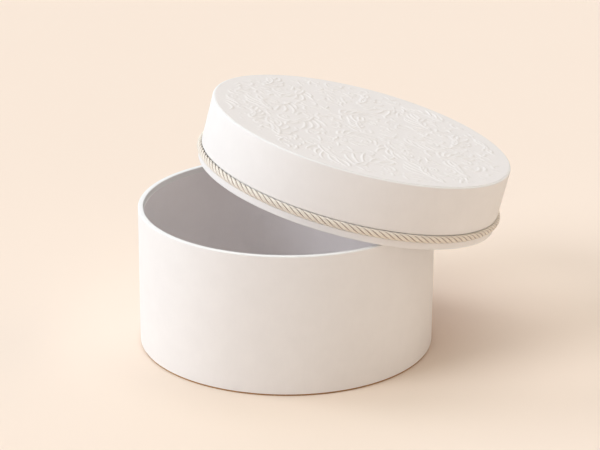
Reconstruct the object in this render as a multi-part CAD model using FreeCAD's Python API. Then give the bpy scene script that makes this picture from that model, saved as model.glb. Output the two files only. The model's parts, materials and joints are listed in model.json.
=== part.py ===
# A small round hat box of covered board, open, with its lid resting askew across the rim.
# Units are millimetres, +Z is up, and the origin is the centre of the base's underside.
import FreeCAD, Part
import math
import os

# ---- base: overall sizes
BASE_RADIUS = 125.0        # outside of the covered wall
BASE_HEIGHT = 121.0        # underside to the top of the rim

# ---- lid: overall sizes
LID_HEIGHT = 54.6          # rim to the top face, square to the top
LID_CLEARANCE = 0.8        # radial play between the base and the lid when it is shut
BAND_HEIGHT = 6.1          # the narrow band below the cord

# ---- where the lid lies
LID_TILT = 13.7            # degrees, down towards +X
LID_SHIFT_X = 53.0         # centre of the lid's rim from the base's axis
LID_SHIFT_Y = 22.5
LID_REST_GAP = 0.1         # vertical clearance where the rims cross, before their folds add to it

# ---- board and paper
BASE_WALL_BOARD = 3.8
FLOOR_BOARD = 2.5
BOTTOM_COVER = 1.3
BOTTOM_COVER_INSET = 0.9   # the bottom cover stops this far inside the wall
SLEEVE_BOARD = 1.5
LID_RING_BOARD = 1.7       # the rings outside the sleeve, above and below the cord
TOP_BOARD = 2.4
PAPER = 0.3                # white covering paper
LINING = 0.3               # lining paper on the walls
LINING_CARD = 0.8          # covered card on the floor and under the top
LINING_PLAY = 0.2          # gap round the lining cards
TURN_IN = 14.0             # covering paper carried over a rim and down inside
TURN_UNDER = 12.0          # covering paper carried under the floor
TURN_OVER = 10.0           # covering paper carried on to the lid's top
LINING_BELOW_RIM = 5.0     # the linings stop this far short of the rims

# ---- folds
RIM_FOLD = 0.8             # outer radius of the paper over the wall edges
TOP_FOLD = 1.3             # outer radius of the paper over the lid's top edge
COVER_INSET = 0.6          # the embossed cover stops this far inside the top fold

# ---- trim cord
CORD_HEIGHT = 6.3          # along the wall
CORD_DEPTH = 5.6           # before its back is glued flat
CORD_FLAT = 1.0            # what the glued back takes off that depth
CORD_GAP = 0.3             # shadow gap above the cord

# ---- tape and butt joints
TAPE = 0.2
TAPE_WIDTH = 20.0
CORNER_TAPE_LEG = 10.0
BUTT_GAP = 0.4             # between the ends of a board strip bent to a ring
BASE_SEAM = 90.0           # degrees round from +X
SLEEVE_SEAM = 90.0
UPPER_RING_SEAM = 60.0
LOWER_RING_SEAM = 120.0

RIM_STEPS = 3600           # points round the rim when the lid's height is found

ORIGIN = FreeCAD.Vector(0, 0, 0)
X_AXIS = FreeCAD.Vector(1, 0, 0)
Y_AXIS = FreeCAD.Vector(0, 1, 0)
Z_AXIS = FreeCAD.Vector(0, 0, 1)

# ---- base: radii and heights that follow
board_outer = BASE_RADIUS - PAPER
board_inner = board_outer - BASE_WALL_BOARD
floor_low = BOTTOM_COVER + PAPER
floor_top = floor_low + FLOOR_BOARD
wall_top = BASE_HEIGHT - PAPER

# ---- lid: radii and heights that follow, in the lid's own frame with its rim at height 0
lid_inner = BASE_RADIUS + LID_CLEARANCE
sleeve_inner = lid_inner + LINING + PAPER
sleeve_outer = sleeve_inner + SLEEVE_BOARD
ring_outer = sleeve_outer + LID_RING_BOARD
lid_outer = ring_outer + PAPER
board_top = LID_HEIGHT - PAPER
board_under = board_top - TOP_BOARD
upper_ring_low = BAND_HEIGHT + CORD_HEIGHT + CORD_GAP


def corner_edges(before, corner, after, rounding):
    """The start, the end and the arc of one rounded corner of an outline."""
    back = (before - corner).normalize()
    ahead = (after - corner).normalize()
    half = back.getAngle(ahead) / 2
    start = corner + back * (rounding / math.tan(half))
    end = corner + ahead * (rounding / math.tan(half))
    middle = corner + (back + ahead).normalize() * (rounding / math.sin(half) - rounding)
    return start, end, Part.Arc(start, middle, end).toShape()


def turned(outline):
    """Solid turned about Z from corners given as (radius, height) or (radius, height, rounding)."""
    points = [FreeCAD.Vector(corner[0], 0, corner[1]) for corner in outline]
    starts, ends, edges = [], [], []
    for index, corner in enumerate(outline):
        here = points[index]
        if len(corner) == 2:
            starts.append(here)
            ends.append(here)
            edges.append(None)
            continue
        start, end, arc = corner_edges(points[index - 1], here, points[(index + 1) % len(points)], corner[2])
        starts.append(start)
        ends.append(end)
        edges.append(arc)
    loop = []
    for index, arc in enumerate(edges):
        if arc:
            loop.append(arc)
        loop.append(Part.LineSegment(ends[index], starts[(index + 1) % len(starts)]).toShape())
    face = Part.Face(Part.Wire(loop))
    return face.revolve(ORIGIN, Z_AXIS, 360)


def disc(radius, low, high):
    """Flat disc between two heights."""
    return Part.makeCylinder(radius, high - low, FreeCAD.Vector(0, 0, low))


def ring(inner, outer, low, high):
    """Plain ring between two radii and two heights."""
    return turned([(inner, low), (outer, low), (outer, high), (inner, high)])


def strip_at(angle, width, reach, low, high):
    """Upright slab that cuts a ring once, at the given angle round from +X."""
    slab = Part.makeBox(reach, width, high - low, FreeCAD.Vector(0, -width / 2, low))
    slab.rotate(ORIGIN, Z_AXIS, angle)
    return slab


def bent_strip(board, seam, low, high):
    """Board ring with the narrow gap where the ends of the strip meet."""
    return board.cut(strip_at(seam, BUTT_GAP, 2 * BASE_RADIUS, low, high))


def seam_tape(outer, seam, low, high):
    """Strip of gummed tape pressed flush into the outside of a board ring, over its butt joint."""
    return ring(outer - TAPE, outer, low, high).common(strip_at(seam, TAPE_WIDTH, 2 * BASE_RADIUS, low, high))


def corner_tape(wall, face, leg):
    """Ring of tape, L-shaped in section, pressed into the corner of a wall and a floor or top."""
    side = math.copysign(TAPE, leg)
    return turned([
        (wall - abs(leg), face),
        (wall, face),
        (wall, face + leg),
        (wall + TAPE, face + leg),
        (wall + TAPE, face - side),
        (wall - abs(leg), face - side),
    ])


def base_parts():
    """Every piece of the base, by name."""
    corner = corner_tape(board_inner, floor_top, CORNER_TAPE_LEG)
    fold = RIM_FOLD - PAPER
    wall = turned([
        (board_inner, floor_low),
        (board_outer, floor_low, fold),
        (board_outer, wall_top, fold),
        (board_inner, wall_top, fold),
    ])
    tape = seam_tape(board_outer, BASE_SEAM, floor_low, wall_top).common(wall)
    wall = bent_strip(wall, BASE_SEAM, 0, BASE_HEIGHT)
    floor = disc(board_inner, floor_low, floor_top)
    wrap = turned([
        (board_inner - TURN_UNDER, BOTTOM_COVER),
        (BASE_RADIUS, BOTTOM_COVER, RIM_FOLD),
        (BASE_RADIUS, BASE_HEIGHT, RIM_FOLD),
        (board_inner - PAPER, BASE_HEIGHT, RIM_FOLD),
        (board_inner - PAPER, BASE_HEIGHT - TURN_IN),
        (board_inner, BASE_HEIGHT - TURN_IN),
        (board_inner, wall_top, fold),
        (board_outer, wall_top, fold),
        (board_outer, floor_low, fold),
        (board_inner - TURN_UNDER, floor_low),
    ])
    turn_end = BASE_HEIGHT - TURN_IN
    wall_lining = turned([
        (board_inner - LINING, floor_top),
        (board_inner, floor_top),
        (board_inner, turn_end),
        (board_inner - PAPER, turn_end),
        (board_inner - PAPER, BASE_HEIGHT - LINING_BELOW_RIM),
        (board_inner - PAPER - LINING, BASE_HEIGHT - LINING_BELOW_RIM),
        (board_inner - PAPER - LINING, turn_end - LINING),
        (board_inner - LINING, turn_end - LINING),
    ])
    return {
        "base_wall_board": wall.cut(tape).cut(corner),
        "base_wall_tape": tape,
        "base_floor_board": floor.cut(corner),
        "base_corner_tape": corner,
        "base_wrap": wrap,
        "base_wall_lining": wall_lining,
        "base_floor_lining": disc(board_inner - LINING - LINING_PLAY, floor_top, floor_top + LINING_CARD),
        "base_bottom_cover": disc(BASE_RADIUS - BOTTOM_COVER_INSET, 0, BOTTOM_COVER),
    }


def trim_cord():
    """Plain ring of the cord's outer shape: an oval with its back flattened against the groove."""
    back = sleeve_outer + PAPER
    centre = FreeCAD.Vector(back - CORD_FLAT + CORD_DEPTH / 2, 0, BAND_HEIGHT + CORD_HEIGHT / 2)
    oval = Part.Ellipse(centre + Z_AXIS * (CORD_HEIGHT / 2), centre + X_AXIS * (CORD_DEPTH / 2), centre)
    solid = Part.Face(Part.Wire(oval.toShape())).revolve(ORIGIN, Z_AXIS, 360)
    return solid.cut(disc(back, 0, LID_HEIGHT))


def lid_parts():
    """Every piece of the lid, by name, level and with its rim at height 0."""
    tape = seam_tape(sleeve_outer, SLEEVE_SEAM, PAPER, board_under)
    corner = corner_tape(sleeve_inner, board_under, -CORNER_TAPE_LEG)
    fold = RIM_FOLD - PAPER
    sleeve = ring(sleeve_inner, sleeve_outer, PAPER, board_under)
    lower_ring = turned([
        (sleeve_outer, PAPER),
        (ring_outer, PAPER, fold),
        (ring_outer, BAND_HEIGHT - PAPER, fold),
        (sleeve_outer, BAND_HEIGHT - PAPER),
    ])
    upper_ring = turned([
        (sleeve_outer, upper_ring_low + PAPER),
        (ring_outer, upper_ring_low + PAPER, fold),
        (ring_outer, board_under),
        (sleeve_outer, board_under),
    ])
    turn_end = lid_outer - TOP_FOLD - TURN_OVER
    top_board = turned([
        (0, board_under),
        (ring_outer, board_under),
        (ring_outer, board_top - PAPER, TOP_FOLD - PAPER),
        (turn_end, board_top - PAPER),
        (turn_end, board_top),
        (0, board_top),
    ])
    wrap = turned([
        (turn_end, board_top),
        (lid_outer, board_top, TOP_FOLD),
        (lid_outer, upper_ring_low, RIM_FOLD),
        (sleeve_outer + PAPER, upper_ring_low),
        (sleeve_outer + PAPER, BAND_HEIGHT),
        (sleeve_outer, BAND_HEIGHT),
        (sleeve_outer, upper_ring_low + PAPER),
        (ring_outer, upper_ring_low + PAPER, fold),
        (ring_outer, board_top - PAPER, TOP_FOLD - PAPER),
        (turn_end, board_top - PAPER),
    ])
    band_wrap = turned([
        (sleeve_outer, BAND_HEIGHT),
        (lid_outer, BAND_HEIGHT, RIM_FOLD),
        (lid_outer, 0, RIM_FOLD),
        (sleeve_inner - PAPER, 0, PAPER),
        (sleeve_inner - PAPER, TURN_IN),
        (sleeve_inner, TURN_IN),
        (sleeve_inner, PAPER),
        (ring_outer, PAPER, fold),
        (ring_outer, BAND_HEIGHT - PAPER, fold),
        (sleeve_outer, BAND_HEIGHT - PAPER),
    ])
    wall_lining = turned([
        (sleeve_inner - LINING, board_under),
        (sleeve_inner, board_under),
        (sleeve_inner, TURN_IN),
        (sleeve_inner - PAPER, TURN_IN),
        (sleeve_inner - PAPER, LINING_BELOW_RIM),
        (sleeve_inner - PAPER - LINING, LINING_BELOW_RIM),
        (sleeve_inner - PAPER - LINING, TURN_IN + LINING),
        (sleeve_inner - LINING, TURN_IN + LINING),
    ])
    card = sleeve_inner - LINING - LINING_PLAY
    return {
        "lid_sleeve": bent_strip(sleeve.cut(tape).cut(corner), SLEEVE_SEAM, 0, LID_HEIGHT),
        "lid_sleeve_tape": tape,
        "lid_upper_ring": bent_strip(upper_ring, UPPER_RING_SEAM, 0, LID_HEIGHT),
        "lid_lower_ring": bent_strip(lower_ring, LOWER_RING_SEAM, 0, LID_HEIGHT),
        "lid_top_board": top_board.cut(corner),
        "lid_corner_tape": corner,
        "lid_wrap": wrap,
        "lid_band_wrap": band_wrap,
        "lid_top_cover": disc(lid_outer - TOP_FOLD - COVER_INSET, board_top, LID_HEIGHT),
        "lid_wall_lining": wall_lining,
        "lid_top_lining": disc(card, board_under - LINING_CARD, board_under),
        "trim_cord": trim_cord(),
    }


def resting_height():
    """Height of the lid's rim centre that leaves the rest gap where the two rims cross."""
    slope = math.tan(math.radians(LID_TILT))
    stretch = 1 / math.cos(math.radians(LID_TILT))
    reach = 0
    for rim in (BASE_RADIUS, board_inner):
        for step in range(RIM_STEPS):
            angle = 2 * math.pi * step / RIM_STEPS
            along = rim * math.cos(angle) - LID_SHIFT_X
            across = rim * math.sin(angle) - LID_SHIFT_Y
            if lid_inner <= math.hypot(along * stretch, across) <= lid_outer:
                reach = max(reach, along * slope)
    return BASE_HEIGHT + LID_REST_GAP + reach


def laid_askew(solid):
    """The same solid, tilted and moved to where the lid rests."""
    placed = solid.copy()
    placed.rotate(ORIGIN, Y_AXIS, LID_TILT)
    placed.translate(FreeCAD.Vector(LID_SHIFT_X, LID_SHIFT_Y, resting_height()))
    return placed


def main():
    """Write one STEP file for each piece."""
    os.makedirs("parts", exist_ok=True)
    pieces = base_parts()
    for name, solid in lid_parts().items():
        pieces[name] = laid_askew(solid)
    for name, solid in pieces.items():
        solid.exportStep("parts/" + name + ".step")
        print(name, "valid" if solid.isValid() else "NOT VALID", round(solid.Volume), "mm3")
    print("rim centre of the lid at height", round(resting_height(), 3))


main()
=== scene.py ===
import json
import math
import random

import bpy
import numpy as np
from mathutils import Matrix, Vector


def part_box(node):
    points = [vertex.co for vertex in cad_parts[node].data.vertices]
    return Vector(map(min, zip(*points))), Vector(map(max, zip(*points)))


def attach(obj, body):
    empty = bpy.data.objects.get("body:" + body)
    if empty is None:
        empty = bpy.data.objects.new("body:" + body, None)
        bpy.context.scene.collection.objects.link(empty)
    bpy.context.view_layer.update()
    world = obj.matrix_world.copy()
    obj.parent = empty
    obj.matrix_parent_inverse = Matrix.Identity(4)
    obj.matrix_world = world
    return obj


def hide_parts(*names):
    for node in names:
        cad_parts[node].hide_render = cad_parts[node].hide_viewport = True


bl_info = {
    "name": "Hat box",
    "version": (1, 0, 0),
    "blender": (4, 5, 0),
    "location": "View3D > Sidebar > Hat box",
    "description": "Builds the covering papers, the embossed lid and the twisted cord of a round hat box",
    "category": "Object",
}

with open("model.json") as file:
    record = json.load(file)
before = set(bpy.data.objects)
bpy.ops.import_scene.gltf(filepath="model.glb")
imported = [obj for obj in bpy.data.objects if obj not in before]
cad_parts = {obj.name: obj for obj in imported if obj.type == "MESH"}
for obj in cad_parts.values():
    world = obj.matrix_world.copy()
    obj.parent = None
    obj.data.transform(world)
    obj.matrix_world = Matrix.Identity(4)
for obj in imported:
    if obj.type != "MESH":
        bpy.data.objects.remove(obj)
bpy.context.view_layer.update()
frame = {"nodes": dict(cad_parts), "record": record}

MM = 0.001
BASE_BODY = "root"
LID_BODY = "lid"
# Studio lights: name, heading round from +X, height and filled angle in degrees, then the
# strength of red, green and blue.
LIGHTS = (
    ("key_left", 200, 35, 28, (1.10, 1.14, 1.24)),
    ("key_back", 160, 22, 28, (1.05, 1.11, 1.21)),
    ("fill_right", 0, 20, 60, (0.87, 0.72, 0.60)),
    ("fill_front", 270, 20, 60, (0.58, 0.50, 0.50)),
    ("fill_back", 90, 45, 60, (0.87, 0.84, 0.93)),
    ("overhead", 0, 90, 60, (1.21, 1.25, 1.16)),
)
ROUND_STEPS = 6            # points on each rounded corner of an outline
SEGMENTS = 288             # steps round every turned piece
LAP_STEPS = 8              # steps along a lapped seam
WELD = 0.004 * MM          # corners nearer than this are one
SMOOTH_ANGLE = math.radians(35)
SENSOR_WIDTH = 36          # millimetres, as the camera wants it
FILAMENTS_PER_YARN = 6
UV_LENGTH = 10 * MM        # length of strand in one unit of its map
STRAND_PRESS = 1.02        # strands pressed into each other by this much
PAINTED_SHADE_TOP = 0.86          # share of the cord's radius below which a strand takes the painted groove shade
PAINTED_SHADE_FADE = 0.3          # share of the cord's radius over which the painted groove shade deepens
JITTER = 5                 # millimetres that chance moves a spray
ROW_STEP = 0.87            # distance between rows of sprays, as a share of their pitch
TUFTS, CURLS, PLUMES, BEADS = 220, 260, 260, 160   # tries at filling the gaps
SOFTENING = 3              # passes over the pressed relief


# ================================================================ the frame's own measures

def corners(node):
    """Every corner of a CAD node, as an array of points."""
    points = np.zeros(len(frame["nodes"][node].data.vertices) * 3)
    frame["nodes"][node].data.vertices.foreach_get("co", points)
    return points.reshape(-1, 3)


def lid_place():
    """Matrix that takes a level lid, rim at height 0, to where the lid lies."""
    cover = frame["nodes"]["lid_top_cover"]
    flat = max((face for face in cover.data.polygons if face.normal.z > 0), key=lambda face: face.area)
    axis = flat.normal.copy()
    low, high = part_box("lid_top_cover")
    middle = (low + high) / 2
    heights = (corners("lid_band_wrap") - np.array(middle)) @ np.array(axis)
    turn = Matrix.Rotation(math.atan2(axis.x, axis.z), 4, "Y")
    return Matrix.Translation(middle + axis * float(heights.min())) @ turn


LID_PLACE = lid_place()
LEVEL = Matrix.Identity(4)


def span(node, place=LEVEL):
    """Lowest and highest level of a node on its body's axis, least and greatest reach from it."""
    inverse = np.array(place.inverted())
    points = corners(node) @ inverse[:3, :3].T + inverse[:3, 3]
    reach = np.hypot(points[:, 0], points[:, 1])
    ends = (points[:, 2].min(), points[:, 2].max(), reach.min(), reach.max())
    return tuple(float(value) for value in ends)


# ================================================================ sizes and colours

class HatBoxPapers(bpy.types.PropertyGroup):
    """Covering papers, linings and boards."""
    white: bpy.props.FloatVectorProperty(
        name="White paper", description="Covering paper", subtype="COLOR", default=(0.915, 0.91, 0.89))
    # Partly the lining paper's own near-white, partly painted light: set lighter than the covering paper to
    # brighten the shaded inside.
    lining: bpy.props.FloatVectorProperty(
        name="Lining", description="Lining paper inside base and lid", subtype="COLOR",
        default=(0.99, 0.955, 0.945))
    grey_board: bpy.props.FloatVectorProperty(
        name="Grey board", description="Board inside the walls", subtype="COLOR",
        default=(0.36, 0.33, 0.29))
    kraft: bpy.props.FloatVectorProperty(
        name="Kraft board", description="Bottom cover", subtype="COLOR", default=(0.42, 0.24, 0.10))
    tape: bpy.props.FloatVectorProperty(
        name="Gummed tape", description="Tape over joints", subtype="COLOR", default=(0.55, 0.40, 0.24))
    grain: bpy.props.FloatProperty(
        name="Grain", description="Size of the paper's grain", unit="LENGTH", default=0.7 * MM,
        min=0.1 * MM)
    grain_depth: bpy.props.FloatProperty(
        name="Grain depth", description="Height of the paper's grain", unit="LENGTH", default=0.03 * MM)
    thickness: bpy.props.FloatProperty(
        name="Paper thickness", description="Thickness of the covering paper", unit="LENGTH",
        default=0.3 * MM)
    rim_fold: bpy.props.FloatProperty(
        name="Rim fold", description="Outer radius of the paper over a wall's edge", unit="LENGTH",
        default=0.8 * MM)
    top_fold: bpy.props.FloatProperty(
        name="Top fold", description="Outer radius of the paper over the lid's top edge", unit="LENGTH",
        default=1.3 * MM)
    turn_in: bpy.props.FloatProperty(
        name="Turn-in", description="Paper carried over a rim and down inside", unit="LENGTH",
        default=14 * MM)
    overlap: bpy.props.FloatProperty(
        name="Seam overlap", description="How far the paper's end laps over its start", unit="LENGTH",
        default=12 * MM)
    seam: bpy.props.FloatProperty(
        name="Seam", description="Where the seam stands, round from +X", subtype="ANGLE",
        default=math.radians(100))


class HatBoxEmboss(bpy.types.PropertyGroup):
    """Scrollwork pressed into the lid's top."""
    # Painted shade: set darker and warmer than the white covering paper, so that the lid's top reads dimmer
    # than its sides.
    paper: bpy.props.FloatVectorProperty(
        name="Embossed paper", description="Paper on the lid's top", subtype="COLOR",
        default=(0.87, 0.84, 0.81))
    relief: bpy.props.FloatProperty(
        name="Relief", description="Height of the pressed scrollwork", unit="LENGTH", default=0.62 * MM)
    border: bpy.props.FloatProperty(
        name="Border", description="Plain margin inside the cover's edge", unit="LENGTH", default=8 * MM)
    pitch: bpy.props.FloatProperty(
        name="Pitch", description="Distance between sprays", unit="LENGTH", default=41 * MM)
    seed: bpy.props.IntProperty(name="Seed", description="Which of the chance layouts is used", default=11)
    cells: bpy.props.IntProperty(
        name="Cells", description="Mesh cells across the cover", default=304, min=20, max=305)


class HatBoxCord(bpy.types.PropertyGroup):
    """Twisted cord round the lid."""
    colour: bpy.props.FloatVectorProperty(
        name="Cord", description="Satin yarn", subtype="COLOR", default=(1.0, 0.90, 0.77))
    # Painted shade: the dark warm colour laid in the grooves between the strands, where shade falls.
    shade: bpy.props.FloatVectorProperty(
        name="Cord shade", description="Yarn deep between the strands", subtype="COLOR",
        default=(0.20, 0.05, 0.012))
    strands: bpy.props.IntProperty(name="Strands", description="Strands in the cord", default=4, min=2, max=6)
    lay: bpy.props.FloatProperty(
        name="Lay", description="Length of cord in one full twist", unit="LENGTH", default=25 * MM)
    swell: bpy.props.FloatProperty(
        name="Swell", description="How much the soft strands fill beyond the plain cord", unit="LENGTH",
        default=0.25 * MM)
    yarns: bpy.props.IntProperty(name="Yarns", description="Yarns showing round a strand", default=9, min=3)
    twist: bpy.props.FloatProperty(
        name="Yarn twist", description="Length of strand in one twist of its yarns", unit="LENGTH",
        default=11 * MM)
    fluting: bpy.props.FloatProperty(
        name="Fluting", description="Depth of the grooves between yarns, as a share of a strand's radius",
        subtype="FACTOR", default=0.05)
    steps: bpy.props.IntProperty(name="Steps", description="Mesh steps in one full twist", default=22, min=8)
    sides: bpy.props.IntProperty(name="Sides", description="Mesh sides round a strand", default=27, min=8)


class HatBoxStage(bpy.types.PropertyGroup):
    """Floor, lights and camera."""
    floor: bpy.props.FloatVectorProperty(
        name="Floor", description="Seamless paper under the box", subtype="COLOR",
        default=(0.90, 0.77, 0.65))
    floor_size: bpy.props.FloatProperty(
        name="Floor size", description="Side of the floor", unit="LENGTH", default=12.0)
    brightness: bpy.props.FloatProperty(
        name="Brightness", description="Gain of all the studio lights", subtype="FACTOR", default=1.0)
    lens: bpy.props.FloatProperty(
        name="Lens", description="Focal length on a 36 mm wide sensor", unit="CAMERA", default=133.9)
    stand: bpy.props.FloatVectorProperty(
        name="Camera", description="Where the camera stands", subtype="TRANSLATION", size=3,
        default=(-0.1276, -1.7657, 0.7591))
    heading: bpy.props.FloatProperty(
        name="Heading", description="Turn of the view from +Y towards +X", subtype="ANGLE",
        default=math.radians(4.505))
    dip: bpy.props.FloatProperty(
        name="Dip", description="Angle of the view below level", subtype="ANGLE",
        default=math.radians(20.375))
    roll: bpy.props.FloatProperty(
        name="Roll", description="Roll of the camera", subtype="ANGLE", default=math.radians(0.29))


# ================================================================ shader maths and finishes

class Value:
    """A number in a shader, taken from a socket, that Python expressions can work on."""

    def __init__(self, recipe, socket):
        self.recipe = recipe
        self.socket = socket

    def maths(self, operation, *others):
        sockets = dict(enumerate([self, *others]))
        return self.recipe.node("ShaderNodeMath", {"operation": operation}, sockets)

    def __add__(self, other):
        return self.maths("ADD", other)

    def __mul__(self, other):
        return self.maths("MULTIPLY", other)

    def __sub__(self, other):
        return self.maths("SUBTRACT", other)

    def __rsub__(self, other):
        return self.maths("MULTIPLY", -1) + other

    __radd__ = __add__
    __rmul__ = __mul__


class Recipe:
    """A material under construction."""

    def __init__(self, name):
        self.material = bpy.data.materials.new(name)
        self.material.use_nodes = True
        self.tree = self.material.node_tree
        self.tree.nodes.clear()

    def node(self, kind, settings=None, sockets=None, output=0):
        """Add a node, set it, fill or link its sockets, and return one of its outputs."""
        made = self.tree.nodes.new(kind)
        for name, value in (settings or {}).items():
            if name == "stops":
                self.stops(made.color_ramp, value)
            else:
                setattr(made, name, value)
        for name, value in (sockets or {}).items():
            if isinstance(value, Value):
                self.tree.links.new(value.socket, made.inputs[name])
            else:
                made.inputs[name].default_value = value
        return Value(self, made.outputs[output])

    def stops(self, ramp, stops):
        """Set a colour ramp's stops from pairs of place and grey level."""
        while len(ramp.elements) < len(stops):
            ramp.elements.new(0.5)
        for element, (place, level) in zip(ramp.elements, stops):
            element.position = place
            element.color = (level, level, level, 1)

    def noise(self, size, detail=3.0, roughness=0.55, stretch=(1, 1, 1), offset=(0, 0, 0)):
        """Noise whose features are about the given size in metres."""
        place = self.node("ShaderNodeTexCoord", output="Object")
        shift = {"Vector": place, "Scale": stretch, "Location": offset}
        place = self.node("ShaderNodeMapping", None, shift)
        sockets = {"Vector": place, "Scale": 1 / size, "Detail": detail, "Roughness": roughness}
        return self.node("ShaderNodeTexNoise", None, sockets, "Fac")

    def ramp(self, value, stops):
        """Grey levels picked from stops along a value."""
        return self.node("ShaderNodeValToRGB", {"stops": stops}, {"Fac": value}, "Color")

    def mix(self, share, first, second):
        """Mix of two colours."""
        sockets = {"Factor": share, 6: first, 7: second}
        return self.node("ShaderNodeMix", {"data_type": "RGBA"}, sockets, 2)

    def bump(self, height, distance):
        """Normal of a surface whose height varies from 0 to 1 over the given distance."""
        sockets = {"Height": height, "Distance": distance, "Strength": 1.0}
        return self.node("ShaderNodeBump", None, sockets, "Normal")

    def finish(self, sockets):
        """Close the material with a Principled shader."""
        shader = self.node("ShaderNodeBsdfPrincipled", None, sockets, "BSDF")
        output = self.tree.nodes.new("ShaderNodeOutputMaterial")
        self.tree.links.new(shader.socket, output.inputs["Surface"])
        return self.material


def rgba(colour, gain=1.0):
    """A colour with full alpha, brightened or darkened."""
    return tuple(min(1.0, level * gain) for level in colour) + (1.0,)


def paper_finish(name, colour, grain, depth):
    """Uncoated fine-grained paper: soft mottling, short fibres and a close grain."""
    mottle_size = 18 * MM
    recipe = Recipe(name)
    mottle = recipe.noise(mottle_size, 3)
    fibres = recipe.noise(grain * 3, 4, 0.7, (1, 1, 0.25))
    close = recipe.noise(grain, 2, 0.5)
    tone = mottle * 0.6 + fibres * 0.4
    shade = recipe.ramp(tone, [(0.3, 0.0), (0.7, 1.0)])
    height = close * 0.6 + fibres * 0.4
    return recipe.finish({
        "Base Color": recipe.mix(shade, rgba(colour, 0.975), rgba(colour, 1.012)),
        "Roughness": 0.62 + close * 0.2,
        "Specular IOR Level": 0.35,
        "Normal": recipe.bump(height, depth),
    })


def board_finish(name, colour, fleck):
    """Recycled board: pressed fibres, dark and light flecks."""
    fibre_size, cloud_size, speck_size, fibre_height = 1.2 * MM, 9 * MM, 0.8 * MM, 0.12 * MM
    recipe = Recipe(name)
    fibres = recipe.noise(fibre_size, 5, 0.75, (1, 1, 0.3))
    cloud = recipe.noise(cloud_size, 3)
    dots = recipe.noise(speck_size, 1, 0.4, (1, 1, 1), (7, 3, 1))
    specks = recipe.ramp(dots, [(0.66, 0.0), (0.74, 1.0)])
    ground = recipe.mix(fibres * 0.7 + cloud * 0.3, rgba(colour, 0.72), rgba(colour, 1.28))
    return recipe.finish({
        "Base Color": recipe.mix(specks, ground, rgba(colour, fleck)),
        "Roughness": 0.82 + fibres * 0.12,
        "Specular IOR Level": 0.25,
        "Normal": recipe.bump(fibres * 0.7 + cloud * 0.3, fibre_height),
    })


def cord_finish(name, colour, shade, yarns):
    """Satin yarn, bright along each yarn, with painted shade: dark and warm in the grooves between strands.
    """
    wander_size, filament_height = 2.5 * MM, 0.04 * MM
    recipe = Recipe(name)
    uv = recipe.node("ShaderNodeUVMap", {"uv_map": "UVMap"}, None, "UV")
    across = recipe.node("ShaderNodeSeparateXYZ", None, {0: uv}, "Y")
    along = recipe.node("ShaderNodeSeparateXYZ", None, {0: uv}, "X")
    phase = (across * (yarns * FILAMENTS_PER_YARN) + along * 3) * (2 * math.pi)
    filaments = phase.maths("SINE") * 0.5 + 0.5
    # Painted shade mask: near 1 deep in the grooves between strands, 0 on the crests.
    depth = recipe.node("ShaderNodeAttribute", {"attribute_name": "inside"}, None, "Fac")
    wander = recipe.noise(wander_size, 3)
    # Share of the painted groove shade, with faint filament stripes and random wander.
    tone = depth * 0.9 + (1 - filaments) * 0.04 + wander * 0.03
    return recipe.finish({
        "Base Color": recipe.mix(tone, rgba(colour, 1.04), rgba(shade)),
        "Roughness": 0.30 + wander * 0.12,
        "Specular IOR Level": 1.0,
        "Sheen Weight": 0.6,
        "Sheen Roughness": 0.4,
        "Normal": recipe.bump(filaments, filament_height),
    })


def floor_finish(name, colour):
    """Matt seamless paper on the floor."""
    cloud_size = 300 * MM
    recipe = Recipe(name)
    cloud = recipe.noise(cloud_size, 2)
    return recipe.finish({
        "Base Color": recipe.mix(cloud, rgba(colour, 0.995), rgba(colour, 1.005)),
        "Roughness": 0.95,
        "Specular IOR Level": 0.1,
    })


# ================================================================ turned pieces

def begin():
    """Leave edit mode and clear the selection, so that an operator acts only on what it makes."""
    if bpy.context.object and bpy.context.object.mode != "OBJECT":
        bpy.ops.object.mode_set(mode="OBJECT")
    bpy.ops.object.select_all(action="DESELECT")


def rounded(outline):
    """Outline points, with each (radius, height, rounding) corner swept into an arc."""
    points = []
    for index, corner in enumerate(outline):
        here = Vector(corner[:2])
        if len(corner) == 2:
            points.append(here)
            continue
        back = (Vector(outline[index - 1][:2]) - here).normalized()
        ahead = (Vector(outline[(index + 1) % len(outline)][:2]) - here).normalized()
        half = back.angle(ahead) / 2
        centre = here + (back + ahead).normalized() * (corner[2] / math.sin(half))
        start = here + back * (corner[2] / math.tan(half)) - centre
        end = here + ahead * (corner[2] / math.tan(half)) - centre
        for step in range(ROUND_STEPS + 1):
            points.append(centre + start.slerp(end, step / ROUND_STEPS).normalized() * corner[2])
    return points


def turned(outline):
    """Closed piece turned about its body's axis: a ring of edges extruded along the outline."""
    points = rounded(outline)
    begin()
    bpy.ops.mesh.primitive_circle_add(vertices=SEGMENTS, radius=points[0].x, location=(0, 0, points[0].y))
    piece = bpy.context.object
    bpy.ops.object.mode_set(mode="EDIT")
    bpy.ops.mesh.select_all(action="SELECT")
    for before, after in zip(points, points[1:] + points[:1]):
        bpy.ops.mesh.extrude_edges_move(TRANSFORM_OT_translate={"value": (0, 0, after.y - before.y)})
        swell = after.x / before.x
        bpy.ops.transform.resize(value=(swell, swell, 1))
    bpy.ops.mesh.select_all(action="SELECT")
    bpy.ops.mesh.remove_doubles(threshold=WELD)
    bpy.ops.mesh.normals_make_consistent(inside=False)
    bpy.ops.object.mode_set(mode="OBJECT")
    return piece


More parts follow.
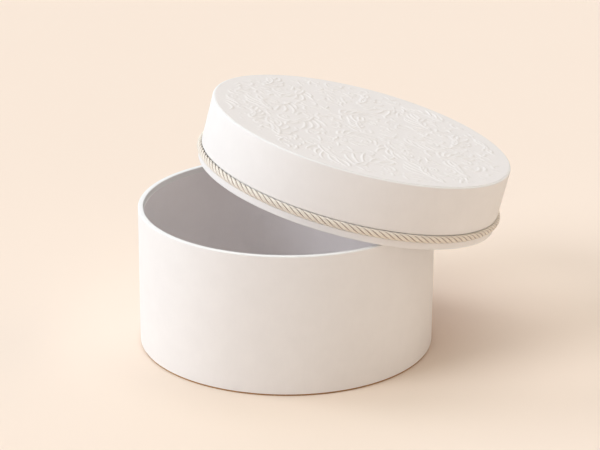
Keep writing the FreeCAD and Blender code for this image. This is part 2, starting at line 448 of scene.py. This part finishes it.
def lap(radius, thickness, low, high, start, width):
    """End of a wrapped sheet where it laps over its start: a thin closed strip spun round the wall."""
    begin()
    bpy.ops.mesh.primitive_plane_add(size=1)
    strip = bpy.context.object
    bpy.ops.object.mode_set(mode="EDIT")
    bpy.ops.mesh.select_all(action="SELECT")
    bpy.ops.transform.rotate(value=math.pi / 2, orient_axis="X", center_override=(0, 0, 0))
    bpy.ops.transform.resize(value=(thickness, 1, high - low))
    bpy.ops.transform.translate(value=(radius + thickness / 2, 0, (low + high) / 2))
    bpy.ops.mesh.spin(steps=LAP_STEPS, angle=width / radius, center=(0, 0, 0), axis=(0, 0, 1))
    bpy.ops.mesh.select_all(action="SELECT")
    bpy.ops.mesh.normals_make_consistent(inside=False)
    bpy.ops.object.mode_set(mode="OBJECT")
    strip.data.transform(Matrix.Rotation(start, 4, "Z"))
    return strip


def joined(piece, strip, name, place):
    """Wrapped sheet and its lapped end as one piece."""
    begin()
    strip.select_set(True)
    piece.select_set(True)
    bpy.context.view_layer.objects.active = piece
    bpy.ops.object.join()
    return settled(piece, name, place)


def settled(piece, name, place):
    """Name a finished piece, smooth it and carry its place into its mesh."""
    piece.name = name
    piece.data.name = name
    begin()
    piece.select_set(True)
    bpy.context.view_layer.objects.active = piece
    bpy.ops.object.transform_apply(location=True, rotation=True, scale=True)
    piece.data.transform(place)
    bpy.ops.object.shade_smooth_by_angle(angle=SMOOTH_ANGLE)
    return piece


def carried(node):
    """Finish that a CAD node was given."""
    return frame["nodes"][node].data.materials[0]


def dress(piece, material, slot, body, *nodes):
    """Give a piece its finish, tie it to its body and let it stand for CAD nodes."""
    piece.data.materials.clear()
    piece.data.materials.append(material)
    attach(piece, body)
    if nodes:
        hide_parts(*nodes)


# ================================================================ scrollwork

class Relief:
    """Height map of the pressed scrollwork on a fine square raster, and which of it is taken."""
    PITCH = 0.25               # millimetres between the raster's points
    GAP = 2.0                  # millimetres of clear paper between strokes of different sprays

    def __init__(self, reach, limit):
        self.reach = reach
        self.limit = limit
        self.count = int(2 * reach / self.PITCH) + 1
        self.height = np.zeros((self.count, self.count), np.float32)
        self.taken = np.zeros((self.count, self.count), np.float32)
        self.waiting = []

    def cell(self, x, y):
        """Raster column and row of a point."""
        return (x + self.reach) / self.PITCH, (y + self.reach) / self.PITCH

    def stamp(self, raster, x, y, radius, level):
        """Raise a rounded dot, keeping whichever height is greater."""
        column, row = self.cell(x, y)
        cells = int(radius / self.PITCH) + 2
        left, low = int(column) - cells, int(row) - cells
        if min(left, low) < 0 or max(left, low) + 2 * cells >= self.count:
            return
        over = np.arange(2 * cells)
        across = (left + over - column) * self.PITCH / radius
        along = (low + over - row) * self.PITCH / radius
        fall = 1 - across[None, :] ** 2 - along[:, None] ** 2
        dome = level * np.sqrt(np.clip(fall, 0, 1)).astype(np.float32)
        patch = raster[low:low + 2 * cells, left:left + 2 * cells]
        np.maximum(patch, dome, out=patch)

    def blocked(self, x, y):
        """Whether a point lies outside the pattern or too near another spray."""
        column, row = self.cell(x, y)
        return math.hypot(x, y) > self.limit or self.taken[int(row), int(column)] > 0

    def stroke(self, points, widths, level=1.0):
        """Raise a tapered ridge along a line of points, up to where it meets another spray."""
        room = len(points)
        for index, point in enumerate(points):
            if self.blocked(*point):
                room = index
                break
        if room < 0.55 * len(points):
            return None
        for index in range(room - 1):
            start, end = points[index], points[index + 1]
            parts = max(1, int(math.dist(start, end) / (2 * self.PITCH)))
            for part in range(parts):
                share = part / parts
                radius = widths[index] * (1 - share) + widths[index + 1] * share
                x = start[0] * (1 - share) + end[0] * share
                y = start[1] * (1 - share) + end[1] * share
                self.stamp(self.height, x, y, radius, level * min(1.0, 0.3 + radius / 1.8))
        self.waiting += [(*point, radius) for point, radius in zip(points[:room], widths)]
        return points[room - 1]

    def close(self):
        """Mark what the finished spray takes up, so that later ones keep clear of it."""
        for x, y, radius in self.waiting:
            self.stamp(self.taken, x, y, radius + self.GAP, 1.0)
        self.waiting = []

    def plume(self, x, y, heading, length, turn, thick):
        """Plume that swells towards a rounded, curling tip."""
        steps = max(7, int(length / 1.1))
        points, widths = [(x, y)], [0.45 * thick]
        for step in range(steps):
            share = (step + 1) / steps
            heading += turn / steps * (0.25 + 1.5 * share ** 1.5)
            x += math.cos(heading) * length / steps
            y += math.sin(heading) * length / steps
            points.append((x, y))
            widths.append(thick * (0.45 + 0.6 * math.sin(math.pi * (0.06 + 0.8 * share))))
        return self.stroke(points, widths)

    def volute(self, x, y, heading, size, side, thick):
        """Spiral that tightens on a bead."""
        steps = 40
        points, widths = [(x, y)], [thick]
        for step in range(steps):
            share = (step + 1) / steps
            heading += side * 0.20 * (0.45 + 1.15 * share)
            pace = size * 0.13 * (1 - 0.72 * share)
            x += math.cos(heading) * pace
            y += math.sin(heading) * pace
            points.append((x, y))
            widths.append(thick * (1 - 0.35 * share))
        if self.stroke(points, widths):
            self.stamp(self.height, x, y, thick * 1.4, 1.0)

    def bead(self, x, y, radius):
        """Small round berry, where there is room for one."""
        if not self.blocked(x, y):
            self.stamp(self.height, x, y, radius, 0.9)
            self.waiting.append((x, y, radius))

    def smooth(self, passes):
        """Soften the ridges as paper does when it is pressed."""
        for _ in range(passes):
            for axis in (0, 1):
                self.height = (
                    np.roll(self.height, 1, axis) + 2 * self.height + np.roll(self.height, -1, axis)) / 4

    def at(self, points):
        """Height at each of an array of points."""
        place = (points + self.reach) / self.PITCH
        low = np.clip(place.astype(int), 0, self.count - 2)
        share = place - low
        x, y = low[:, 0], low[:, 1]
        first = self.height[y, x] * (1 - share[:, 0]) + self.height[y, x + 1] * share[:, 0]
        second = self.height[y + 1, x] * (1 - share[:, 0]) + self.height[y + 1, x + 1] * share[:, 0]
        return first * (1 - share[:, 1]) + second * share[:, 1]


def spray(relief, draw, x, y, heading, side, size):
    """Acanthus spray: a curving spine, plumes fanned on both sides of it and a volute at its end."""
    joints = 5
    if relief.blocked(x, y):
        return
    points, widths = [(x, y)], [1.2]
    for joint in range(joints):
        share = joint / (joints - 1)
        fullness = 0.36 + 0.34 * math.sin(math.pi * (0.2 + 0.65 * share))
        outer = size * fullness * draw.uniform(0.75, 1.15)
        relief.plume(
            x, y, heading - side * (1.0 - 0.3 * share), outer, side * draw.uniform(0.5, 2.1), 1.05)
        relief.plume(
            x, y, heading + side * (0.95 - 0.1 * share), outer * draw.uniform(0.45, 0.8),
            -side * draw.uniform(0.4, 2.0), 0.95)
        for _ in range(3):
            heading += side * (0.04 + 0.08 * share)
            x += math.cos(heading) * size * 0.065
            y += math.sin(heading) * size * 0.065
            points.append((x, y))
            widths.append(1.2 - 0.25 * share)
    relief.stroke(points, widths)
    relief.plume(x, y, heading - side * 0.6, size * 0.4, -side * 1.1, 1.05)
    relief.volute(x, y, heading + side * 0.1, size * 0.3, side, 0.95)
    relief.close()


def tuft(relief, draw, x, y, heading, size):
    """Small fan of three plumes and a bead, between the sprays."""
    if relief.blocked(x, y):
        return
    for lean, share in ((-0.8, 0.75), (0.0, 1.0), (0.8, 0.75)):
        relief.plume(x, y, heading + lean, size * share, (lean or 0.5) * draw.uniform(1.2, 2.2), 1.0)
    relief.bead(x - math.cos(heading) * 2.8, y - math.sin(heading) * 2.8, 1.05)
    relief.close()


def scrollwork(settings, radius):
    """All-over pattern inside the plain border: sprays, then tufts, curls, plumes and beads."""
    reach = radius / MM
    limit = reach - settings.border / MM
    relief = Relief(reach, limit)
    draw = random.Random(settings.seed)
    pitch = settings.pitch / MM
    rows = int(reach / pitch) + 2
    for row in range(-rows, rows + 1):
        for column in range(-rows, rows + 1):
            x = (column + 0.5 * (row % 2)) * pitch + draw.uniform(-JITTER, JITTER)
            y = row * pitch * ROW_STEP + draw.uniform(-JITTER, JITTER)
            heading = math.pi / 2 + draw.uniform(-1.2, 1.2) + (math.pi if (row + column) % 2 else 0)
            side = draw.choice((-1, 1))
            spray(relief, draw, x, y, heading, side, draw.uniform(0.62, 0.86) * pitch)

    def curl(x, y, turn):
        size = draw.uniform(8, 11)
        relief.volute(x, y, turn, size, draw.choice((-1, 1)), 0.9)

    def lone_plume(x, y, turn):
        size = draw.uniform(8, 12)
        relief.plume(x, y, turn, size, draw.choice((-2.6, 2.6)), 0.95)

    fillers = (
        (TUFTS, lambda x, y, turn: tuft(relief, draw, x, y, turn, draw.uniform(9, 14))),
        (CURLS, curl),
        (PLUMES, lone_plume),
        (BEADS, lambda x, y, turn: relief.bead(x, y, draw.uniform(0.9, 1.2))),
    )
    for tries, fill in fillers:
        for _ in range(tries):
            away, turn = limit * math.sqrt(draw.random()), draw.uniform(0, 2 * math.pi)
            fill(away * math.cos(turn), away * math.sin(turn), draw.uniform(0, 2 * math.pi))
            relief.close()
    relief.smooth(SOFTENING)
    return relief


def round_grid(count, radius):
    """Square grid of points eased on to a disc, so that its cells stay nearly even."""
    line = np.linspace(-1, 1, count + 1)
    across, along = np.meshgrid(line, line)
    wide = np.abs(across) > np.abs(along)
    larger = np.where(wide, across, along)
    ratio = np.where(wide, along, across) / np.where(larger == 0, 1, larger)
    angle = np.where(wide, ratio, 2 - ratio) * math.pi / 4
    return np.stack([larger * np.cos(angle), larger * np.sin(angle)], -1).reshape(-1, 2) * radius


# ================================================================ operators

class HATBOX_OT_stage(bpy.types.Operator):
    """Set the camera, the pale floor and the soft studio light"""
    bl_idname = "hatbox.stage"
    bl_label = "Stage"

    def execute(self, context):
        settings = context.scene.hat_box_stage
        self.add_camera(context, settings)
        self.add_floor(settings)
        self.add_lights(context, settings)
        return {"FINISHED"}

    def add_camera(self, context, settings):
        begin()
        bpy.ops.object.camera_add(location=settings.stand)
        camera = context.object
        camera.data.sensor_width = SENSOR_WIDTH
        camera.data.lens = settings.lens
        camera.rotation_euler = (math.pi / 2 - settings.dip, 0, -settings.heading)
        camera.rotation_euler = (
            camera.rotation_euler.to_matrix() @ Matrix.Rotation(settings.roll, 3, "Z")).to_euler()
        context.scene.camera = camera

    def add_floor(self, settings):
        begin()
        bpy.ops.mesh.primitive_plane_add(size=settings.floor_size)
        floor = bpy.context.object
        floor.name = "floor"
        floor.data.materials.append(floor_finish("floor_paper", settings.floor))

    def add_lights(self, context, settings):
        context.scene.view_settings.view_transform = "Standard"
        for name, heading, height, softness, colour in LIGHTS:
            begin()
            bpy.ops.object.light_add(type="SUN")
            light = context.object
            light.name = name
            flat = math.cos(math.radians(height))
            towards = Vector((
                flat * math.cos(math.radians(heading)), flat * math.sin(math.radians(heading)),
                math.sin(math.radians(height))))
            light.rotation_euler = towards.to_track_quat("Z", "Y").to_euler()
            light.data.angle = math.radians(softness)
            light.data.energy = settings.brightness * max(colour)
            light.data.color = [level / max(colour) for level in colour]


class HATBOX_OT_carried_finishes(bpy.types.Operator):
    """Give every CAD piece but the cord its finish"""
    bl_idname = "hatbox.carried_finishes"
    bl_label = "Boards, papers, tapes and linings"

    def execute(self, context):
        papers = context.scene.hat_box_papers
        emboss = context.scene.hat_box_emboss
        finishes = {
            "grey_board": board_finish("grey_board", papers.grey_board, 0.45),
            "gummed_tape": paper_finish(
                "gummed_tape", papers.tape, papers.grain * 2, papers.grain_depth),
            "kraft_board": board_finish("kraft_board", papers.kraft, 1.9),
            # The lining's extra lightness over the covering paper is painted light for the shaded inside.
            "lining_paper": paper_finish(
                "lining_paper", papers.lining, papers.grain, papers.grain_depth),
            "white_paper": paper_finish("white_paper", papers.white, papers.grain, papers.grain_depth),
            # The embossed paper's darker colour is painted shade on the lid's top.
            "embossed_paper": paper_finish(
                "embossed_paper", emboss.paper, papers.grain * 0.8, papers.grain_depth),
        }
        for part in frame["record"]["subparts"]:
            if part["material_slot"] in finishes:
                frame["nodes"][part["node"]].data.materials[0] = finishes[part["material_slot"]]
        return {"FINISHED"}


class HATBOX_OT_base_paper(bpy.types.Operator):
    """Wrap the base in white paper, with its seam at the back"""
    bl_idname = "hatbox.base_paper"
    bl_label = "Base paper"

    def execute(self, context):
        papers = context.scene.hat_box_papers
        sheet, fold = papers.thickness, papers.rim_fold
        low, high, under, outer = span("base_wrap")
        wall = span("base_wall_board")[2]
        inside = wall - sheet
        piece = turned([
            (under, low),
            (outer, low, fold),
            (outer, high, fold),
            (inside, high, fold),
            (inside, high - papers.turn_in),
            (wall, high - papers.turn_in),
            (wall, high - sheet, fold - sheet),
            (outer - sheet, high - sheet, fold - sheet),
            (outer - sheet, low + sheet, fold - sheet),
            (under, low + sheet),
        ])
        strip = lap(outer, sheet / 2, low + fold, high - fold, papers.seam, papers.overlap)
        piece = joined(piece, strip, "base_paper", LEVEL)
        dress(piece, carried("base_wrap"), "white_paper", BASE_BODY, "base_wrap")
        return {"FINISHED"}


class HATBOX_OT_lid_papers(bpy.types.Operator):
    """Wrap the lid's wall and the band below the cord in white paper"""
    bl_idname = "hatbox.lid_papers"
    bl_label = "Lid papers"

    def execute(self, context):
        papers = context.scene.hat_box_papers
        sheet, fold = papers.thickness, papers.rim_fold
        band, high, over, outer = span("lid_wrap", LID_PLACE)
        _, _, sleeve_inner, sleeve_outer = span("lid_sleeve", LID_PLACE)
        low = span("lid_upper_ring", LID_PLACE)[0] - sheet
        board = outer - sheet
        piece = turned([
            (over, high),
            (outer, high, papers.top_fold),
            (outer, low, fold),
            (sleeve_outer + sheet, low),
            (sleeve_outer + sheet, band),
            (sleeve_outer, band),
            (sleeve_outer, low + sheet),
            (board, low + sheet, fold - sheet),
            (board, high - sheet, papers.top_fold - sheet),
            (over, high - sheet),
        ])
        strip = lap(outer, sheet / 2, low + fold, high - papers.top_fold, papers.seam, papers.overlap)
        piece = joined(piece, strip, "lid_paper", LID_PLACE)
        dress(piece, carried("lid_wrap"), "white_paper", LID_BODY, "lid_wrap")
        inside = sleeve_inner - sheet
        piece = turned([
            (sleeve_outer, band),
            (outer, band, fold),
            (outer, 0, fold),
            (inside, 0, sheet),
            (inside, papers.turn_in),
            (sleeve_inner, papers.turn_in),
            (sleeve_inner, sheet),
            (board, sheet, fold - sheet),
            (board, band - sheet, fold - sheet),
            (sleeve_outer, band - sheet),
        ])
        piece = settled(piece, "lid_band_paper", LID_PLACE)
        dress(piece, carried("lid_band_wrap"), "white_paper", LID_BODY, "lid_band_wrap")
        return {"FINISHED"}


class HATBOX_OT_embossed_cover(bpy.types.Operator):
    """Press the scrollwork into the paper on the lid's top"""
    bl_idname = "hatbox.embossed_cover"
    bl_label = "Embossed cover"

    def execute(self, context):
        settings = context.scene.hat_box_emboss
        low, high, _, radius = span("lid_top_cover", LID_PLACE)
        begin()
        bpy.ops.mesh.primitive_grid_add(x_subdivisions=settings.cells, y_subdivisions=settings.cells, size=2)
        piece = context.object
        flat = round_grid(settings.cells, radius)
        relief = scrollwork(settings, radius)
        height = high + relief.at(flat / MM) * settings.relief
        points = np.column_stack([flat, height])
        piece.data.vertices.foreach_set("co", points.astype(np.float32).ravel())
        piece.data.update()
        bpy.ops.object.mode_set(mode="EDIT")
        bpy.ops.mesh.select_all(action="DESELECT")
        bpy.ops.mesh.select_mode(type="EDGE")
        bpy.ops.mesh.select_non_manifold()
        bpy.ops.mesh.extrude_edges_move(TRANSFORM_OT_translate={"value": (0, 0, low - high)})
        bpy.ops.mesh.edge_face_add()
        bpy.ops.mesh.select_all(action="SELECT")
        bpy.ops.mesh.normals_make_consistent(inside=False)
        bpy.ops.object.mode_set(mode="OBJECT")
        piece = settled(piece, "embossed_cover", LID_PLACE)
        dress(piece, carried("lid_top_cover"), "embossed_paper", LID_BODY, "lid_top_cover")
        return {"FINISHED"}


class HATBOX_OT_trim_cord(bpy.types.Operator):
    """Twist the satin strands round the lid"""
    bl_idname = "hatbox.trim_cord"
    bl_label = "Trim cord"

    def execute(self, context):
        settings = context.scene.hat_box_cord
        low, high, inner, outer = span("trim_cord", LID_PLACE)
        finish = cord_finish("satin_cord", settings.colour, settings.shade, settings.yarns)
        frame["nodes"]["trim_cord"].data.materials[0] = finish
        for number in range(settings.strands):
            piece = self.strand(settings, number, low, high, inner, outer)
            dress(piece, finish, "satin_cord", LID_BODY, "trim_cord")
        return {"FINISHED"}

    def strand(self, settings, number, low, high, inner, outer):
        """One strand: a fluted tube that winds round the cord's axis, flattened towards the wall."""
        ring = (inner + outer) / 2
        level = (low + high + settings.swell) / 2
        cord_radius = (high - low + settings.swell) / 2
        squash = (outer - inner) / (high - low)
        share = math.sin(math.pi / settings.strands)
        thick = cord_radius * share / (1 + share) * STRAND_PRESS
        swing = cord_radius - thick
        length = 2 * math.pi * ring
        turns = round(length / settings.lay)
        steps = turns * settings.steps
        around = np.linspace(0, 2 * math.pi, steps, endpoint=False)
        wind = 2 * math.pi * number / settings.strands - around * turns
        ringwise = np.stack([np.cos(around), np.sin(around), np.zeros(steps)], -1)
        forward = np.stack([-np.sin(around), np.cos(around), np.zeros(steps)], -1)
        up = np.array([0.0, 0.0, 1.0])
        outward = np.cos(wind)[:, None] * ringwise + np.sin(wind)[:, None] * up
        sideways = -np.sin(wind)[:, None] * ringwise + np.cos(wind)[:, None] * up
        tangent = forward * ring - sideways * (turns * swing)
        tangent /= np.linalg.norm(tangent, axis=1)[:, None]
        across = np.cross(tangent, outward)
        side = np.linspace(0, 2 * math.pi, settings.sides, endpoint=False)
        run = np.hypot(length, turns * 2 * math.pi * swing)
        flutes = round(run / settings.twist)
        ripple = np.cos(settings.yarns * (side[None, :] + flutes * around[:, None] / settings.yarns))
        reach = thick * (1 - settings.fluting * (1 - ripple))
        offset = (
            outward[:, None] * (swing + reach * np.cos(side)[None, :])[..., None]
            + across[:, None] * (reach * np.sin(side)[None, :])[..., None])
        radial = np.einsum("ijk,ik->ij", offset, ringwise)
        depth = np.hypot(radial, offset[..., 2])
        offset += ringwise[:, None] * (radial * (squash - 1))[..., None]
        points = offset + (ringwise * ring + up * level)[:, None]
        return self.tube("trim_cord_strand_%d" % (number + 1), points, depth / cord_radius, run)

    def tube(self, name, points, depth, run):
        """Closed tube through rings of points, with its map and a painted groove shade mask from each point's
        depth in the cord.
        """
        steps, sides, _ = points.shape
        index = np.arange(steps * sides).reshape(steps, sides)
        ahead, aside = np.roll(index, -1, 0), np.roll(index, -1, 1)
        both = np.roll(ahead, -1, 1)
        faces = np.stack([index, ahead, both, aside], -1).reshape(-1, 4)
        mesh = bpy.data.meshes.new(name)
        mesh.from_pydata(points.reshape(-1, 3).tolist(), [], faces.tolist())
        u = np.arange(steps + 1) / steps * (run / UV_LENGTH)
        v = np.arange(sides + 1) / sides
        step, side = np.divmod(np.arange(steps * sides), sides)
        chart = np.stack([
            np.stack([u[step], v[side]], -1), np.stack([u[step + 1], v[side]], -1),
            np.stack([u[step + 1], v[side + 1]], -1), np.stack([u[step], v[side + 1]], -1)], 1)
        mesh.uv_layers.new(name="UVMap").data.foreach_set("uv", chart.astype(np.float32).ravel())
        # Painted shade: 1 deep in the grooves between strands, fading to 0 towards the crests.
        inside = mesh.attributes.new("inside", "FLOAT", "POINT")
        shade = np.clip((PAINTED_SHADE_TOP - depth.ravel()) / PAINTED_SHADE_FADE, 0, 1)
        inside.data.foreach_set("value", shade.astype(np.float32))
        piece = bpy.data.objects.new(name, mesh)
        bpy.context.collection.objects.link(piece)
        begin()
        piece.select_set(True)
        bpy.context.view_layer.objects.active = piece
        bpy.ops.object.mode_set(mode="EDIT")
        bpy.ops.mesh.select_all(action="SELECT")
        bpy.ops.mesh.normals_make_consistent(inside=False)
        bpy.ops.object.mode_set(mode="OBJECT")
        return settled(piece, name, LID_PLACE)


class HATBOX_PT_panel(bpy.types.Panel):
    """Lists the hat box's makers"""
    bl_label = "Hat box"
    bl_idname = "HATBOX_PT_panel"
    bl_space_type = "VIEW_3D"
    bl_region_type = "UI"
    bl_category = "Hat box"

    def draw(self, context):
        for maker in MAKERS:
            self.layout.operator(maker.bl_idname)


MAKERS = (
    HATBOX_OT_stage,
    HATBOX_OT_carried_finishes,
    HATBOX_OT_base_paper,
    HATBOX_OT_lid_papers,
    HATBOX_OT_embossed_cover,
    HATBOX_OT_trim_cord,
)
GROUPS = {
    "hat_box_papers": HatBoxPapers,
    "hat_box_emboss": HatBoxEmboss,
    "hat_box_cord": HatBoxCord,
    "hat_box_stage": HatBoxStage,
}


def register():
    """Register the property groups, the operators and the panel."""
    for name, group in GROUPS.items():
        bpy.utils.register_class(group)
        setattr(bpy.types.Scene, name, bpy.props.PointerProperty(type=group))
    for maker in MAKERS:
        bpy.utils.register_class(maker)
    bpy.utils.register_class(HATBOX_PT_panel)


def unregister():
    """Take away what register added."""
    bpy.utils.unregister_class(HATBOX_PT_panel)
    for maker in reversed(MAKERS):
        bpy.utils.unregister_class(maker)
    for name, group in GROUPS.items():
        delattr(bpy.types.Scene, name)
        bpy.utils.unregister_class(group)


def main():
    """Make every piece in order."""
    register()
    for maker in MAKERS:
        group, name = maker.bl_idname.split(".")
        getattr(getattr(bpy.ops, group), name)()


if __name__ == "__main__":
    main()
